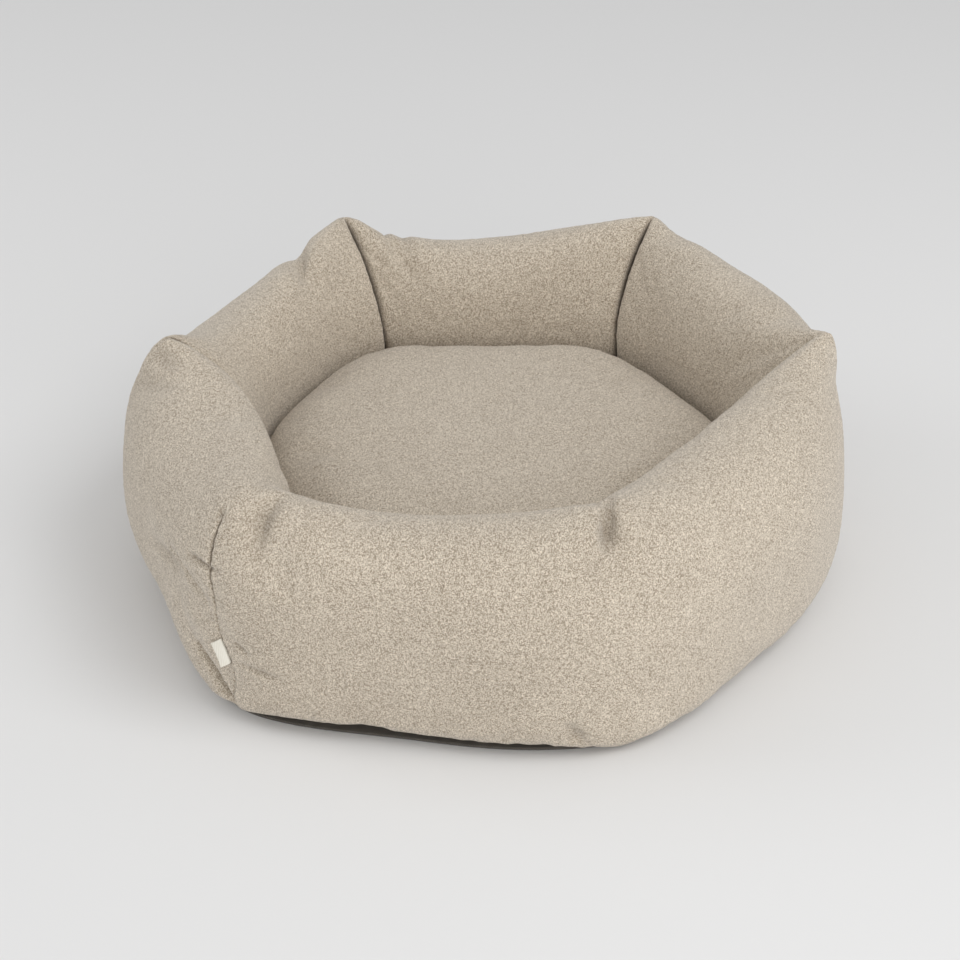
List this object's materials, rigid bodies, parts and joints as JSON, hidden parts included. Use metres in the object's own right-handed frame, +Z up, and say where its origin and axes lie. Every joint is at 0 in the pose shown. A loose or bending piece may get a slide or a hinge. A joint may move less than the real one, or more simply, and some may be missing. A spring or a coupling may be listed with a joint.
{
  "type": "pet bed",
  "caption": "Hexagonal padded pet bed: plump upright walls with pointed corners round a loose crowned cushion, on a flat base panel.",
  "frame": {"origin": "on the floor under the middle of the bed, on the base panel's underside", "axes": "+Z up, -Y towards the front wall that faces the viewer in the picture, +X to the viewer's right"},
  "size_m": [0.7368, 0.7401, 0.2505],
  "materials": {
    "looped_wool": "beige looped wool cloth with pale and dark flecks, matt",
    "base_cloth": "dark plain woven cloth, matt",
    "label_cloth": "cream cotton tape, bare, matt"
  },
  "bodies": {
    "root": {"base_panel": "base_cloth", "wall_back_right": "looped_wool", "wall_back": "looped_wool", "wall_back_left": "looped_wool", "wall_front_left": "looped_wool", "wall_front": "looped_wool", "wall_front_right": "looped_wool", "cushion": "looped_wool", "label": "label_cloth"}
  },
  "joints": []
}
